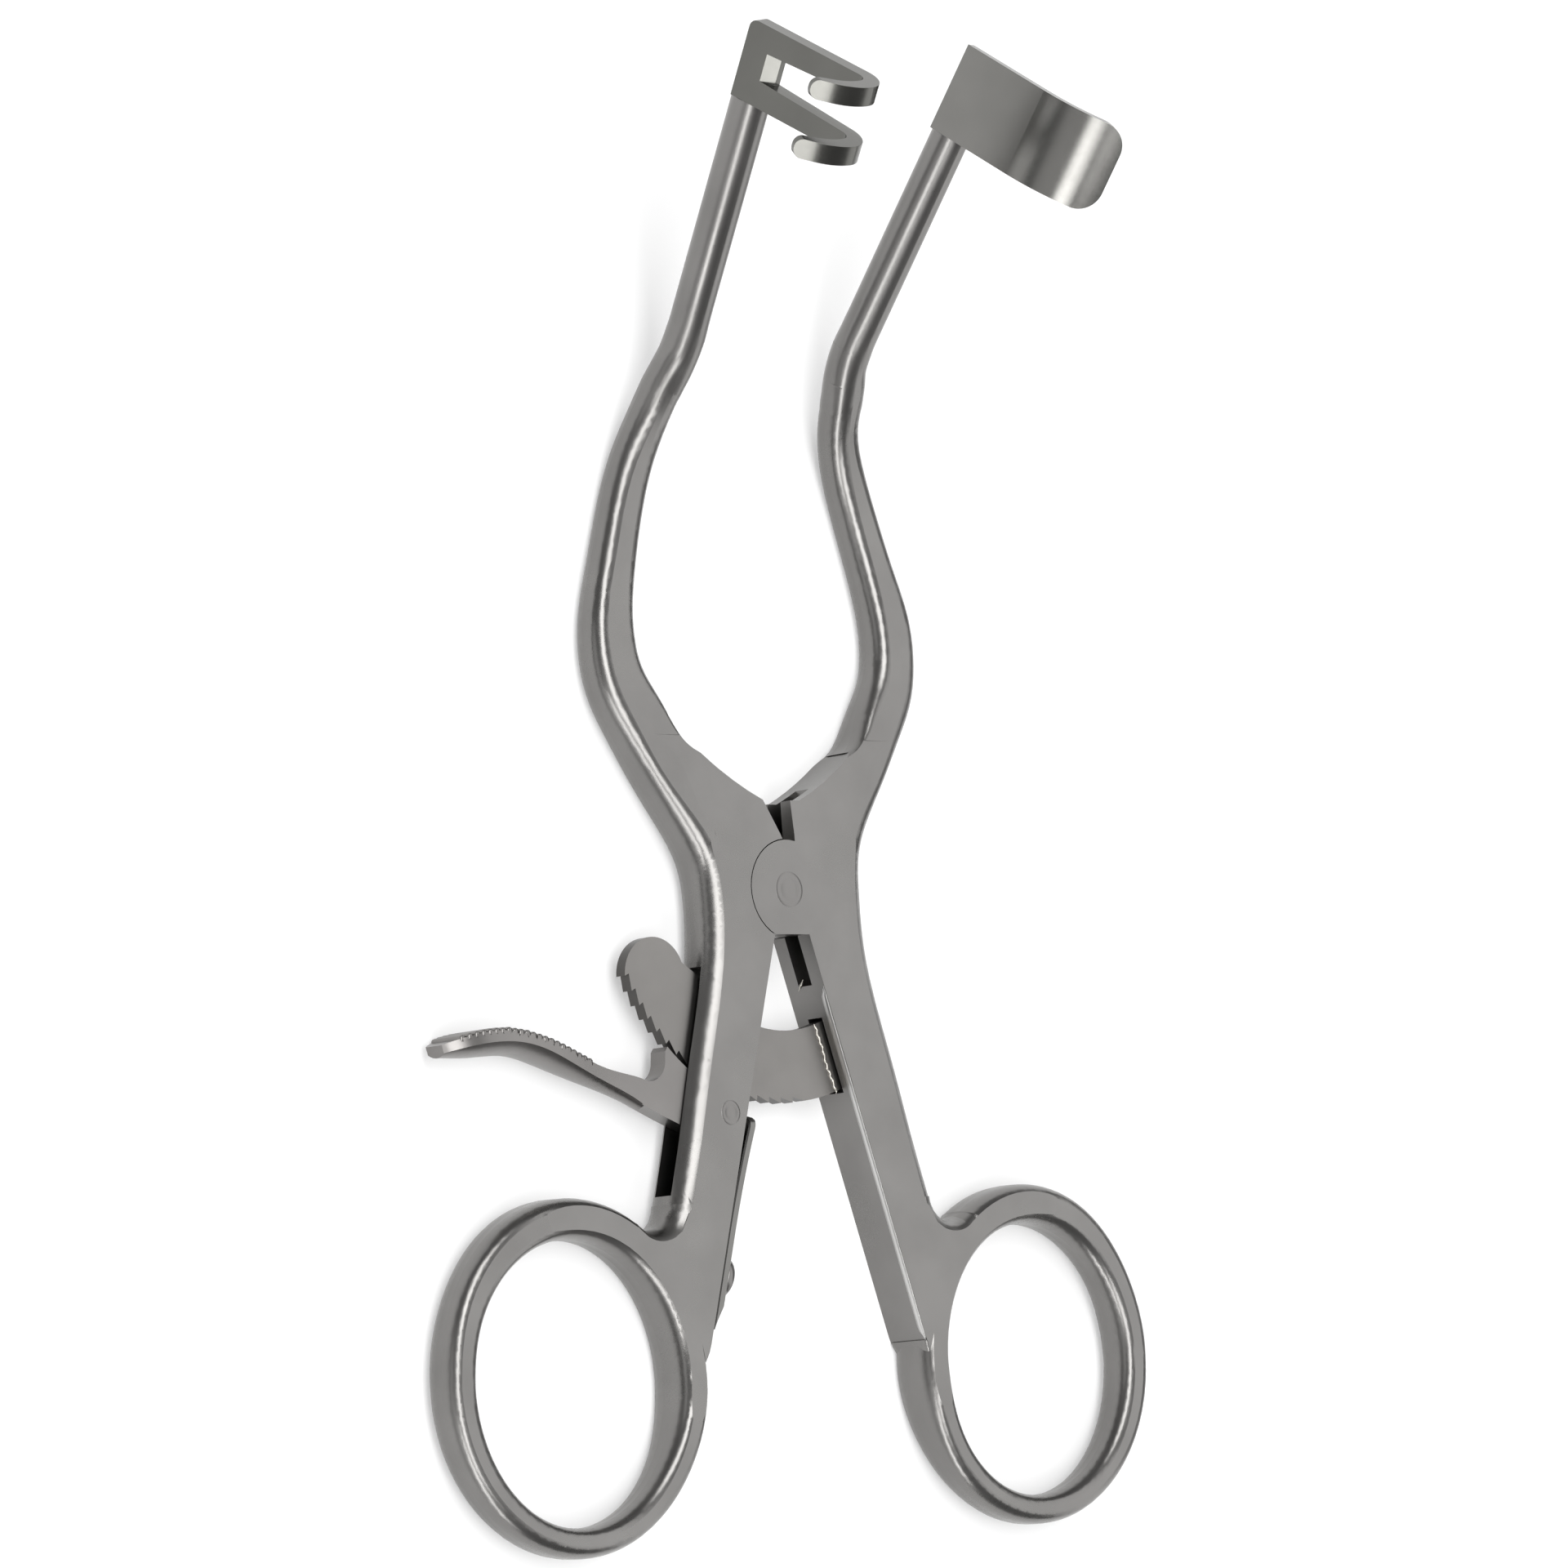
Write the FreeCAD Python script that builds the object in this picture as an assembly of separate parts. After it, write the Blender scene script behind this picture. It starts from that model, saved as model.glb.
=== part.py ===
"""Self retaining retractor: two ring handled arms in a knuckle joint, held open by a ratchet.

Frame, in millimetres: the origin is on the joint's axis, on the back face. +X points to the arm
with the solid blade, +Y along the instrument towards the blades, +Z out of its front face.
"""

import math
import os
from collections import namedtuple

import FreeCAD
import Part

V = FreeCAD.Vector
UP = V(0, 0, 1)

# Knuckle joint
LOCK_THICK = 5.0
CHEEK_THICK = 1.6
CHEEK_PLAY = 0.05
DISC_R = 4.55
DISC_FLAT_Y = -4.1
SEAM_GAP = 0.1
TONGUE_R = 4.2
SLOT_PLAY = 0.5
SLOT_END_Y = -8.6
SLOT_TOP_Y = 12.0
NOTCH_X = 1.1
CROTCH_Y = 8.2
CROTCH_X = 2.2
CROTCH_RISE = (5.6, 10.0)
CROTCH_END = (9.6, 12.9)
SEAM_X = -0.4
LOCK_PIN_R = 1.4
PIN_PLAY = 0.03
PIN_BREAK = 0.12

# Handle shanks: the inner walls run straight from the joint to the rings
WALL_TOP_X = 2.1
WALL_SLOPE = 0.298
WALL_END_Y = -41.4
SHANK_WIDTH = 6.3
SHANK_ROUND = 2.3
INNER_STOCK = 0.8
EDGE_BREAK = 0.15
EDGE_CHAMFER = 0.33

# Finger rings
RING_X = 27.8
RING_Y = -43.6
RING_HOLE_RX = 11.4
RING_HOLE_RY = 12.6
RING_BAND = 3.3
RING_BAND_TOP = 3.7
RING_BAND_BOTTOM = 2.7
RING_THICK = 3.9
RING_ROUND = 1.1
RING_ROOT = 1.8
RING_STATIONS = 16
RING_JOIN_ANGLE = 135.0
GUSSET_R = 2.4
GUSSET_WIDTH = 2.8

# Upper arms: flat backed at the joint, round rods beyond the forward bend
SHOULDER_SWELL = 0.37
FRONT_TAPER_Y = 5.0
FRONT_TAPER_END_Y = 14.0
FRONT_TAPER = 0.087
MILL_STOCK = 0.2
ROD_D = 3.6
ROD_FOOT = (10.42, 47.5, 5.75)
ROD_START = (10.2, 50.0, 7.4)
ROD_FLAT = 0.15
ROD_LEAN = 35.7
ROD_SPLAY = 7.2
ROD_LENGTH = 30.5

# Blades, let into the inner side of the rod ends
BLADE_SEAT = 0.75
FORK_SEAT = 0.25
SCARF_LENGTH = 6.5
SOLID_WIDTH = 8.4
SOLID_THICK = 1.0
SOLID_FLAT = 8.2
SOLID_LEAN = 15.5
LIP_R = 9.0
LIP_ANGLE = 52.0
LIP_CORNER_R = 2.3
FORK_WIDTH = 7.4
FORK_THICK = 1.5
FORK_LEAN = 10.0
FORK_RISE = 0.45
PRONG_WIDTH = 2.4
PRONG_END_WIDTH = 1.8
PRONG_SPREAD = 0.05
PRONG_FLAT = 11.4
FORK_WEB = 2.7
HOOK_R = 1.1
HOOK_ANGLE = 96.0
HOOK_LENGTH = 5.5
HOOK_CORNER_R = 0.85
FORK_SPINE = 1.1
SOLID_SPINE = 1.3
SPINE_CORNER_R = 0.8

# Window through the left shank, for the ratchet bar and the release lever
WINDOW_TOP_Y = -6.9
WINDOW_BOTTOM_Y = -27.4
WINDOW_WIDTH = 2.2

# Ratchet bar, an arc about the joint's axis, let into the right shank
BAR_THICK = 1.2
BAR_IN_R = 12.7
BAR_TIP_R = 20.2
BAR_FOOT_R = 19.2
BAR_FOOT_ANGLE = -30.0
HEAD_R = 3.5
HEAD_ANGLE = 63.2
HEAD_AT_R = 17.0
TOOTH_PITCH = 4.3
TOOTH_DEPTH = 0.5
TOOTH_COUNT = 17
FIRST_TOOTH = 67.7
BAR_TENON = 1.2
MORTISE_PLAY = 0.35

# Release lever, in the window
LEVER_THICK = 2.0
LEVER_PIN_R = 0.9
LEVER_PIN_X = -8.9
LEVER_PIN_Y = -20.2
LEVER_HUB_R = 1.75
NOSE_GAP = 0.08
NOSE_FROM = 26.0
NOSE_TO = 46.0
HEEL_Y = -22.5
HEEL_GAP = 0.05
SERRATION_PITCH = 0.98
SERRATION_DEPTH = 0.35
SERRATION_COUNT = 10
SERRATION_START_X = -24.2

# Stations of the lever's thumb piece: place and slope of its top, width, height of its upright
# sides, and depth of the round belly below them
THUMB_STATIONS = (
    (-17.3, -17.1, -12, LEVER_THICK, 2.2, 0.35),
    (-20.3, -16.4, -16, 2.5, 1.5, 0.5),
    (-24.0, -15.5, -19, 3.6, 1.05, 0.6),
    (-27.4, -14.25, -20, 4.8, 0.95, 0.75),
    (-30.9, -13.15, -13, 5.3, 0.85, 0.9),
    (-34.1, -12.65, -3, 5.4, 0.95, 1.05),
    (-36.8, -12.8, 6, 5.2, 0.95, 1.05),
    (-39.2, -13.3, 13, 4.0, 0.85, 0.7),
    (-40.6, -13.75, 16, 2.2, 0.75, 0.35),
)

# Outline of the lever's plate from the notch behind its nose to its heel
VALLEY = ((-15.0, -15.6), (-15.7, -16.75), (-17.3, -17.1))
PLATE_BOTTOM = ((-18.0, -19.2), (-15.1, -20.5), (-10.5, -22.4))

# Leaf spring on the left shank's inner wall, and its screw
SPRING_THICK = 0.9
SPRING_WIDTH = 3.8
SPRING_TOP_Y = -20.2
SPRING_BOTTOM_Y = -39.6
SPRING_LEAVES_Y = -31.0
SPRING_LIFT = 0.6
SCREW_Y = -34.6
SCREW_R = 0.8
SCREW_HEAD_R = 1.2
SCREW_HEAD_H = 0.6
SCREW_DEPTH = 2.4

MID_Z = LOCK_THICK / 2
FAR = 60.0

# Station of an arm: centre of the section, width, thickness, how far its edges are rounded on
# the inner and the outer side (across, deep), and the share of the shoulder's swell it takes
Station = namedtuple("Station", "x y z width thick inner outer swell")

# Shank: height, growth over its usual width, stock that the wall cut takes off, and rounding
SHANK_STATIONS = (
    (-38.0, -1.6, 0.35, 1.6),
    (-33.0, -0.2, 0.6, SHANK_ROUND),
    (-27.6, 0.0, INNER_STOCK, SHANK_ROUND),
    (-22.5, 0.1, INNER_STOCK, SHANK_ROUND),
    (-17.5, 0.3, INNER_STOCK, SHANK_ROUND),
)

KEEN = (EDGE_BREAK, EDGE_BREAK)
BROAD = LOCK_THICK + MILL_STOCK
SHOULDER_STATIONS = (
    (6.1, -7.0, MID_Z, 8.2, BROAD, KEEN, (SHANK_ROUND, 0.46 * BROAD), 0),
    (4.9, 0.0, MID_Z, 9.8, BROAD, KEEN, (SHANK_ROUND, 0.46 * LOCK_THICK), 0),
    (8.0, 7.7, 2.4, 8.2, 4.95, (0.4, 0.8), (1.7, 2.2), 1.0),
    (12.12, 11.53, 2.15, 5.5, 4.5, (0.6, 1.4), (1.3, 2.0), 1.0),
    (14.75, 15.7, 2.03, 5.6, 4.2, (1.1, 1.8), (1.5, 1.9), 0.9),
    (16.5, 19.0, 1.9, 5.6, 3.95, (1.5, 1.8), (1.6, 1.8), 0.6),
    (17.15, 22.3, 1.83, 5.3, 3.75, (1.4, 1.7), (1.5, 1.7), 0.3),
    (16.95, 25.6, 1.77, 4.95, 3.6, (1.35, 1.62), (1.35, 1.62), 0),
    (16.05, 29.3, 1.7, 4.5, 3.5, (1.35, 1.6), (1.35, 1.6), 0),
    (14.3, 35.3, 1.65, 4.15, 3.45, (1.35, 1.58), (1.35, 1.58), 0),
    (12.95, 39.35, 2.0, 3.95, 3.5, (1.45, 1.6), (1.45, 1.6), 0),
    (11.45, 44.0, 3.6, 3.7, 3.55, (1.55, 1.62), (1.55, 1.62), 0),
)


def wall_x(y):
    """Distance of a shank's inner wall from the middle plane."""
    return WALL_TOP_X + WALL_SLOPE * (DISC_FLAT_Y - y)


def polar(radius, degrees, centre=(0.0, 0.0)):
    """Point at a radius from a centre, at an angle from +X towards +Y."""
    a = math.radians(degrees)
    return (centre[0] + radius * math.cos(a), centre[1] + radius * math.sin(a))


def on_bar(radius, degrees):
    """Point at a radius from the joint's axis, at an angle from -Y towards -X."""
    return polar(radius, 270 - degrees)


def at(point, z):
    """Flat point as a vector at height z."""
    return V(point[0], point[1], z)


def outline(points, low, high):
    """Solid between two heights over a closed outline of straight lines."""
    corners = [at(p, low) for p in points]
    return Part.Face(Part.makePolygon(corners + corners[:1])).extrude(V(0, 0, high - low))


def joined(edges, low, high):
    """Solid between two heights over a closed outline of edges drawn at the lower height."""
    return Part.Face(Part.Wire(edges)).extrude(V(0, 0, high - low))


def disc(radius, low, high, x=0.0, y=0.0):
    """Upright cylinder."""
    return Part.makeCylinder(radius, high - low, V(x, y, low))


def pin(radius, low, high, x=0.0, y=0.0):
    """Upright pin with broken ends."""
    body = disc(radius, low, high, x, y)
    return body.makeChamfer(PIN_BREAK, [e for e in body.Edges if e.Curve.TypeId == "Part::GeomCircle"])


def mirrored(shape):
    """The same shape on the other side of the middle plane."""
    return shape.mirror(V(0, 0, 0), V(1, 0, 0))


def clean(shape):
    """One solid, without seams between faces of one surface."""
    return shape.removeSplitter().Solids[0]


def quarter(first, corner, last):
    """Quarter of an ellipse that rounds a corner."""
    curve = Part.BezierCurve()
    curve.setPoles([first, corner, last])
    curve.setWeight(2, math.sqrt(0.5))
    return curve.toShape()


def section(centre, along, width, thick, inner, outer):
    """Closed outline across a bar: flats joined by quarter ellipses. Outer is to the right."""
    side = along.cross(UP).normalize()
    up = side.cross(along).normalize()
    corners = []
    for s, w, (across, deep) in ((1, 1, outer), (1, -1, outer), (-1, -1, inner), (-1, 1, inner)):
        tip = centre + side * (s * width / 2) + up * (w * thick / 2)
        on_flat = tip - side * (s * across)
        on_side = tip - up * (w * deep)
        corners.append((on_flat, tip, on_side) if s == w else (on_side, tip, on_flat))
    edges = []
    for i, (first, tip, last) in enumerate(corners):
        edges.append(quarter(first, tip, last))
        edges.append(Part.makeLine(last, corners[(i + 1) % 4][0]))
    return Part.Wire(edges)


def arm_stations():
    """Stations of the right arm, from the ring to the foot of its rod."""
    slant = math.hypot(1, WALL_SLOPE)
    root = (RING_ROOT / 3, RING_THICK / 3)
    stations = [Station(RING_X - RING_HOLE_RX - RING_BAND / 2, RING_Y, MID_Z, RING_ROOT, RING_THICK, root, root, 0)]
    for y, extra, stock, rounding in SHANK_STATIONS:
        width = SHANK_WIDTH + extra + stock
        x = wall_x(y) + slant * (width / 2 - stock)
        stations.append(Station(x, y, MID_Z, width, BROAD, KEEN, (rounding, 0.46 * BROAD), 0))
    rod = ROD_D / 2
    full = (rod - ROD_FLAT, rod - ROD_FLAT)
    stations += [Station(*s) for s in SHOULDER_STATIONS]
    stations.append(Station(*ROD_FOOT, ROD_D, ROD_D, full, full, 0))
    return stations


def rod_axis():
    """Direction of the right arm's rod."""
    lean, splay = math.radians(ROD_LEAN), math.radians(ROD_SPLAY)
    return V(math.cos(lean) * math.sin(splay), math.cos(lean) * math.cos(splay), math.sin(lean))


def arm_bar(swell):
    """Bar of the right arm from the ring's side up to the rod, with its rod."""
    stations = arm_stations()
    centres = [V(s.x, s.y, s.z) for s in stations]
    path = Part.BSplineCurve()
    path.interpolate(Points=centres, Tangents=[V(0.02, 1, 0), rod_axis()], Scale=True)
    wires = []
    for s, centre in zip(stations, centres):
        along = path.tangent(path.parameter(centre))[0]
        growth = swell * s.swell
        shifted = centre + along.cross(UP).normalize() * (growth / 2)
        wires.append(section(shifted, along, s.width + growth, s.thick, s.inner, s.outer))
    bar = Part.makeLoft(wires, True, False)
    top = V(*ROD_START)
    rod = Part.makeCylinder(ROD_D / 2, ROD_LENGTH, top, rod_axis())
    knee = Part.makeLoft([wires[-1], section(top, rod_axis(), ROD_D, ROD_D, stations[-1].inner,
                                             stations[-1].outer)], True, False)
    return bar, knee, rod


def ring_band(angle):
    """Width of the ring at an angle about its centre."""
    s = math.sin(math.radians(angle))
    edge = RING_BAND_TOP if s > 0 else RING_BAND_BOTTOM
    return RING_BAND + (edge - RING_BAND) * s * s


def ring_thick(angle):
    """Thickness of the ring: that of the shank where it joins, and thinner elsewhere."""
    full, none = math.cos(math.radians(38)), math.cos(math.radians(105))
    share = (math.cos(math.radians(angle - RING_JOIN_ANGLE)) - none) / (full - none)
    share = min(1.0, max(0.0, share))
    return RING_THICK + (LOCK_THICK + MILL_STOCK - RING_THICK) * share * share * (3 - 2 * share)


def ring_edge(angle, out):
    """Point at a distance outside the right ring's hole, and the outward direction there."""
    a = math.radians(angle)
    hole = V(RING_X + RING_HOLE_RX * math.cos(a), RING_Y + RING_HOLE_RY * math.sin(a), MID_Z)
    outward = V(math.cos(a) / RING_HOLE_RX, math.sin(a) / RING_HOLE_RY, 0).normalize()
    return hole + outward * out, outward


def ring():
    """Finger ring of the right arm."""
    wires = []
    for i in range(RING_STATIONS + 1):
        angle = 360.0 * i / RING_STATIONS
        band, thick = ring_band(angle), ring_thick(angle)
        centre, outward = ring_edge(angle, band / 2)
        rounding = (RING_ROUND, 0.4 * thick)
        wires.append(section(centre, UP.cross(outward), band, thick, rounding, rounding))
    half = RING_STATIONS // 2
    return Part.makeLoft(wires[:half + 1], True, False), Part.makeLoft(wires[half:], True, False)


def gusset():
    """Rounded inside corner between the right shank and the top of its ring, and the web behind."""
    slant = math.hypot(1, WALL_SLOPE)
    low, high = 90.0, 160.0
    for _ in range(40):
        angle = (low + high) / 2
        centre = ring_edge(angle, ring_band(angle) + GUSSET_R)[0]
        gap = (centre.x - wall_x(centre.y)) / slant - SHANK_WIDTH - GUSSET_R
        low, high = (low, angle) if gap < 0 else (angle, high)
    start = 180 + math.degrees(math.atan(WALL_SLOPE))
    outward = ring_edge(angle, 0)[1]
    end = 180 + math.degrees(math.atan2(outward.y, outward.x))
    wires = []
    reach = GUSSET_R + GUSSET_WIDTH / 2
    for share in (-0.12, 0.2, 0.5, 0.8, 1.12):
        turn = start + (end - start) * share
        x, y = polar(reach, turn, centre)
        along = V(-math.sin(math.radians(turn)), math.cos(math.radians(turn)), 0) * -1
        edge = SHANK_ROUND + (RING_ROUND - SHANK_ROUND) * min(1.0, max(0.0, share))
        wires.append(section(V(x, y, MID_Z), along, GUSSET_WIDTH, LOCK_THICK + MILL_STOCK,
                             KEEN, (edge, 0.46 * LOCK_THICK)))
    corner = [polar(reach, start + (end - start) * s, centre) for s in (0, 0.25, 0.5, 0.75, 1)]
    band = [ring_edge(a, ring_band(a) / 2)[0] for a in (angle + 12, 145, 160)]
    web = outline([(wall_x(-26) + 2, -26)] + corner + band + [(wall_x(-38) + 1.5, -38)], 0, LOCK_THICK)
    return Part.makeLoft(wires, True, False), web


def knuckle_block():
    """Flat stock of the joint on the right side of the middle plane."""
    stock = CROTCH_Y + 3
    return outline([(-0.9, -6.0), (7.0, -6.0), (9.0, 9.0), (6.2, stock), (-0.9, stock)], 0, LOCK_THICK)


def mill(blank):
    """Blank with its back and front milled flat, the front falling off towards the rods."""
    back = Part.makeBox(2 * FAR, 2 * FAR, FAR, V(-FAR, -FAR, -FAR))
    end = LOCK_THICK - FRONT_TAPER * (FRONT_TAPER_END_Y - FRONT_TAPER_Y)
    front = [V(0, -FAR, LOCK_THICK), V(0, FRONT_TAPER_Y, LOCK_THICK), V(0, FRONT_TAPER_END_Y, end),
             V(0, FRONT_TAPER_END_Y, FAR), V(0, -FAR, FAR)]
    above = Part.Face(Part.makePolygon(front + front[:1])).extrude(V(FAR, 0, 0))
    return blank.cut([back, above])


def arm_blank(swell):
    """Right arm before its joint is cut."""
    bar, knee, rod = arm_bar(swell)
    blank = bar.fuse([knee, rod, knuckle_block(), *ring(), *gusset()])
    return mill(blank)


def wall_cut(extra):
    """Everything left of the right arm's inner wall, with the points that follow it upwards."""
    points = [(wall_x(WALL_END_Y), WALL_END_Y), (-FAR / 2, WALL_END_Y), (-FAR / 2, CROTCH_Y)]
    return outline(points + extra, -1, LOCK_THICK + 1)


def crotch_cut():
    """Stock left of the curve that the upper crotch follows."""
    rise = Part.Arc(V(CROTCH_X, CROTCH_Y, -1), at(CROTCH_RISE, -1), at(CROTCH_END, -1)).toShape()
    corners = [at(p, -1) for p in (CROTCH_END, (-FAR / 2, CROTCH_END[1]), (-FAR / 2, CROTCH_Y),
                                   (CROTCH_X, CROTCH_Y))]
    lines = [Part.makeLine(a, b) for a, b in zip(corners, corners[1:])]
    return joined([rise] + lines, -1, LOCK_THICK + 1)


def edge_cut():
    """Chamfer along the front edge of the right shank's inner wall."""
    leg = EDGE_CHAMFER
    top, end = DISC_FLAT_Y, WALL_END_Y
    triangle = [V(wall_x(top) - leg, top, LOCK_THICK + leg), V(wall_x(top) + leg, top, LOCK_THICK + leg),
                V(wall_x(top) - leg, top, LOCK_THICK - leg)]
    run = V(wall_x(end) - wall_x(top), end - top, 0)
    return Part.Face(Part.makePolygon(triangle + triangle[:1])).extrude(run)


def rod_frame(side, lean):
    """Placement at a rod's foot: x along the blade's depth, y along the rod, z to the viewer's left."""
    axis = rod_axis()
    along = V(side * axis.x, axis.y, axis.z)
    forward = (UP - along * along.z).normalize()
    across = along.cross(forward)
    turn = math.radians(lean)
    depth = (forward * math.cos(turn) + across * math.sin(turn)).normalize()
    near = depth.cross(along)
    foot = V(side * ROD_START[0], ROD_START[1], ROD_START[2])
    return FreeCAD.Placement(foot, FreeCAD.Rotation(depth, along, near, "XYZ"))


def placed(shape, placement):
    """Copy of a shape at a placement."""
    copy = shape.copy()
    copy.Placement = placement.multiply(copy.Placement)
    return copy


def rod_end(width, lean, side, low):
    """Cutter that shapes a rod's end: the flat under the blade, and the scarf behind it."""
    start = ROD_LENGTH - width
    seat = Part.makeBox(4 * ROD_D, 2 * width, ROD_D, V(-2 * ROD_D, start, low))
    wedge = [V(-ROD_D, start, -ROD_D), V(-ROD_D, start, -ROD_D / 2), V(-ROD_D, start + SCARF_LENGTH, low),
             V(-ROD_D, 2 * ROD_LENGTH, low), V(-ROD_D, 2 * ROD_LENGTH, -ROD_D)]
    scarf = Part.Face(Part.makePolygon(wedge + wedge[:1])).extrude(V(2 * ROD_D, 0, 0))
    return placed(seat.fuse(scarf), rod_frame(side, lean))


def rounded(shape, radius, chosen):
    """Shape with the chosen edges rounded."""
    return shape.makeFillet(radius, [e for e in shape.Edges if chosen(e)])


def solid_blade():
    """Plate let into the right rod, with a lip that curves outwards."""
    start = ROD_LENGTH - SOLID_WIDTH
    back, near = BLADE_SEAT, BLADE_SEAT + SOLID_THICK
    hub = V(SOLID_FLAT, start, back - LIP_R)
    half, full = math.radians(90 - LIP_ANGLE / 2), math.radians(90 - LIP_ANGLE)

    def rim(radius, turn):
        return hub + V(radius * math.cos(turn), 0, radius * math.sin(turn))

    inner, outer = LIP_R, LIP_R + SOLID_THICK
    edges = [
        Part.makeLine(V(-SOLID_SPINE, start, near), V(SOLID_FLAT, start, near)),
        Part.Arc(V(SOLID_FLAT, start, near), rim(outer, half), rim(outer, full)).toShape(),
        Part.makeLine(rim(outer, full), rim(inner, full)),
        Part.Arc(rim(inner, full), rim(inner, half), V(SOLID_FLAT, start, back)).toShape(),
        Part.makeLine(V(SOLID_FLAT, start, back), V(-SOLID_SPINE, start, back)),
        Part.makeLine(V(-SOLID_SPINE, start, back), V(-SOLID_SPINE, start, near)),
    ]
    plate = Part.Face(Part.Wire(edges)).extrude(V(0, SOLID_WIDTH, 0))
    edge_x = (rim(outer, full).x + rim(inner, full).x) / 2
    plate = rounded(plate, LIP_CORNER_R,
                    lambda e: abs(e.CenterOfMass.x - edge_x) < 0.1 and abs(e.Length - SOLID_THICK) < 0.01)
    return clean(placed(plate, rod_frame(1, SOLID_LEAN)))


def fork_blade():
    """Plate let into the left rod, with two prongs that hook outwards."""
    start = ROD_LENGTH + FORK_RISE - FORK_WIDTH
    back, near = FORK_SEAT, FORK_SEAT + FORK_THICK
    hub = V(PRONG_FLAT, start, near + HOOK_R)
    half, full = math.radians(-90 + HOOK_ANGLE / 2), math.radians(-90 + HOOK_ANGLE)
    inner, outer = HOOK_R, HOOK_R + FORK_THICK

    def rim(radius, turn):
        return hub + V(radius * math.cos(turn), 0, radius * math.sin(turn))

    tail = V(-math.sin(full), 0, math.cos(full)) * HOOK_LENGTH
    edges = [
        Part.makeLine(V(-FORK_SPINE, start, back), V(PRONG_FLAT, start, back)),
        Part.Arc(V(PRONG_FLAT, start, back), rim(outer, half), rim(outer, full)).toShape(),
        Part.makeLine(rim(outer, full), rim(outer, full) + tail),
        Part.makeLine(rim(outer, full) + tail, rim(inner, full) + tail),
        Part.makeLine(rim(inner, full) + tail, rim(inner, full)),
        Part.Arc(rim(inner, full), rim(inner, half), V(PRONG_FLAT, start, near)).toShape(),
        Part.makeLine(V(PRONG_FLAT, start, near), V(-FORK_SPINE, start, near)),
        Part.makeLine(V(-FORK_SPINE, start, near), V(-FORK_SPINE, start, back)),
    ]
    foot, top = start - PRONG_SPREAD, start + FORK_WIDTH
    plate = Part.Face(Part.Wire(edges)).extrude(V(0, top - foot, 0))
    plate.translate(V(0, foot - start, 0))
    reach = PRONG_FLAT + HOOK_R + FORK_THICK
    window = [(FORK_WEB, start + PRONG_WIDTH), (reach, foot + PRONG_END_WIDTH), (reach, top - PRONG_END_WIDTH),
              (FORK_WEB, top - PRONG_WIDTH)]
    below = [(-FAR, foot - 1), (-FAR, start), (FORK_WEB, start), (reach, foot), (reach, foot - 1)]
    fork = plate.cut([outline(points, -FAR, FAR) for points in (window, below)])
    end = (rim(outer, full) + rim(inner, full)) * 0.5 + tail
    fork = rounded(fork, HOOK_CORNER_R,
                   lambda e: abs(e.CenterOfMass.z - end.z) < 0.1 and abs(e.Length - FORK_THICK) < 0.01)
    fork = rounded(fork, SPINE_CORNER_R,
                   lambda e: abs(e.CenterOfMass.x + FORK_SPINE) < 0.01 and abs(e.CenterOfMass.y - top) < 0.01)
    return clean(placed(fork, rod_frame(-1, FORK_LEAN)))


def right_arm():
    """Arm with the joint's two cheeks, its rod end prepared for the solid blade."""
    arm = arm_blank(-SHOULDER_SWELL)
    arm = arm.cut([wall_cut([(NOTCH_X, CROTCH_Y), (NOTCH_X, DISC_FLAT_Y + 1), (WALL_TOP_X, DISC_FLAT_Y)]),
                   crotch_cut(), edge_cut()])
    below = Part.makeBox(FAR, FAR, FAR, V(-FAR / 2, DISC_FLAT_Y - FAR, -FAR / 2))
    arm = arm.fuse(disc(DISC_R, 0, LOCK_THICK).cut(below))
    slot_half = LOCK_THICK / 2 - CHEEK_THICK
    slot_x = TONGUE_R + SLOT_PLAY
    slot = Part.makeBox(FAR, SLOT_TOP_Y - SLOT_END_Y, 2 * slot_half, V(slot_x - FAR, SLOT_END_Y, MID_Z - slot_half))
    arm = arm.cut([slot, pin_bore(LOCK_PIN_R), mortise(), rod_end(SOLID_WIDTH, SOLID_LEAN, 1, BLADE_SEAT)])
    return clean(arm)


def left_arm():
    """Arm with the joint's tongue, the window, and its rod end prepared for the fork."""
    arm = arm_blank(SHOULDER_SWELL)
    seam_foot = math.sqrt((DISC_R + SEAM_GAP) ** 2 - SEAM_X ** 2)
    arm = arm.cut([wall_cut([(CROTCH_X, CROTCH_Y), (-SEAM_X, seam_foot), (-SEAM_X, DISC_FLAT_Y + 1),
                             (WALL_TOP_X - WALL_SLOPE, DISC_FLAT_Y + 1)]), crotch_cut()])
    arm = mirrored(arm)
    tongue_half = LOCK_THICK / 2 - CHEEK_THICK - CHEEK_PLAY
    low, high = MID_Z - tongue_half, MID_Z + tongue_half
    recess = DISC_R + SEAM_GAP
    arm = arm.cut([disc(recess, -1, low), disc(recess, high, LOCK_THICK + 1)])
    arm = arm.fuse(disc(TONGUE_R, low, high))
    window = Part.makeBox(FAR, WINDOW_TOP_Y - WINDOW_BOTTOM_Y, WINDOW_WIDTH,
                          V(-FAR, WINDOW_BOTTOM_Y, MID_Z - WINDOW_WIDTH / 2))
    arm = arm.cut([pin_bore(LOCK_PIN_R + PIN_PLAY), window, pin_bore(LEVER_PIN_R, LEVER_PIN_X, LEVER_PIN_Y),
                   screw_hole(), rod_end(FORK_WIDTH - FORK_RISE, FORK_LEAN, -1, FORK_SEAT)])
    return clean(arm)


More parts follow.
